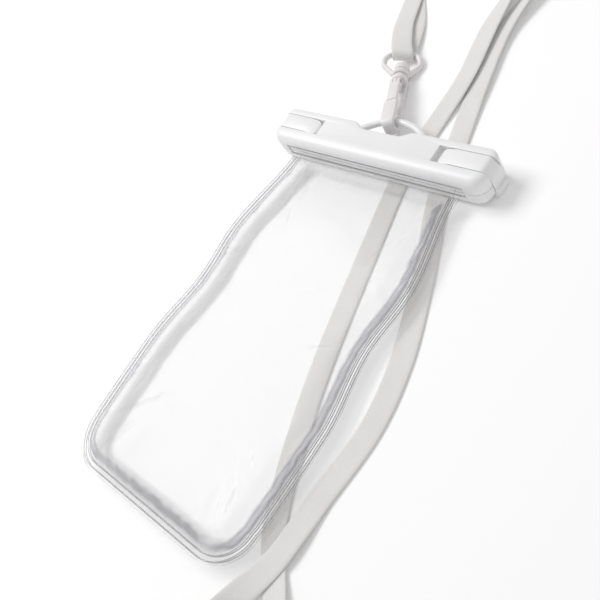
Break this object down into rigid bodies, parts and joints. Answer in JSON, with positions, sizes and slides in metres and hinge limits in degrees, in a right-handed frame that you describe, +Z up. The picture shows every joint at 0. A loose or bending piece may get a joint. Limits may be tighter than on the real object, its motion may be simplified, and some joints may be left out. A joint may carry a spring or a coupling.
{
  "type": "waterproof phone case",
  "caption": "Waterproof phone case: clear welded pouch, white two-part clamp with hinged side latches and seal, eyelet, snap hook with swivel ring, and a flat neck strap",
  "frame": {"origin": "middle of the case's footprint on the floor it lies on, without the strap", "axes": "+X along the clamp, +Y from the pouch to the hook, +Z up out of the front face"},
  "size_m": [0.1587, 0.3964, 0.0144],
  "materials": {
    "white_abs": "smooth moulded, satin",
    "strip_abs": "smooth moulded",
    "silicone": "soft, matt",
    "steel": "drawn wire",
    "clear_film": "clear, glossy soft film",
    "acetal": "smooth moulded",
    "webbing": "fine flat weave"
  },
  "bodies": {
    "case": {"front_bar": "white_abs", "front_film": "clear_film", "front_inner_strip": "strip_abs", "front_rivet_1": "strip_abs", "front_rivet_2": "strip_abs", "front_rivet_3": "strip_abs", "front_rivet_4": "strip_abs", "left_latch_pin": "steel", "neck_strap": "webbing", "rear_bar": "white_abs", "rear_film": "clear_film", "rear_inner_strip": "strip_abs", "rear_rivet_1": "strip_abs", "rear_rivet_2": "strip_abs", "rear_rivet_3": "strip_abs", "rear_rivet_4": "strip_abs", "right_latch_pin": "steel", "seal_gasket": "silicone"},
    "left_latch": {"left_latch": "white_abs"},
    "right_latch": {"right_latch": "white_abs"},
    "hook": {"hook_body": "acetal", "hook_gate_pin": "steel"},
    "gate": {"hook_gate": "acetal"},
    "ring": {"swivel_ring": "acetal", "strap_end_loop": "webbing", "strap_crimp": "acetal"}
  },
  "joints": [
    {"name": "left_latch_hinge", "type": "hinge", "parent": "case", "child": "left_latch", "pos_m": [-0.0515, 0.05623, 0.0036], "axis": [0, -1, 0], "range_deg": [0, 100]},
    {"name": "right_latch_hinge", "type": "hinge", "parent": "case", "child": "right_latch", "pos_m": [0.0515, 0.05623, 0.0036], "axis": [0, 1, 0], "range_deg": [0, 100]},
    {"name": "hook_swing", "type": "hinge", "parent": "case", "child": "hook", "pos_m": [-0.0052, 0.07106, 0.0068], "axis": [0.9758, 0.2185, 0], "range_deg": [-85, 100]},
    {"name": "gate_hinge", "type": "hinge", "parent": "hook", "child": "gate", "pos_m": [-0.01559, 0.09102, 0.00704], "axis": [0.887, 0.4617, 0], "range_deg": [0, 12], "stiffness_Nm_per_rad": 0.004},
    {"name": "ring_swivel", "type": "hinge", "parent": "hook", "child": "ring", "pos_m": [-0.01891, 0.09739, 0.00421], "axis": [-0.46, 0.8836, -0.0871], "continuous": true}
  ]
}
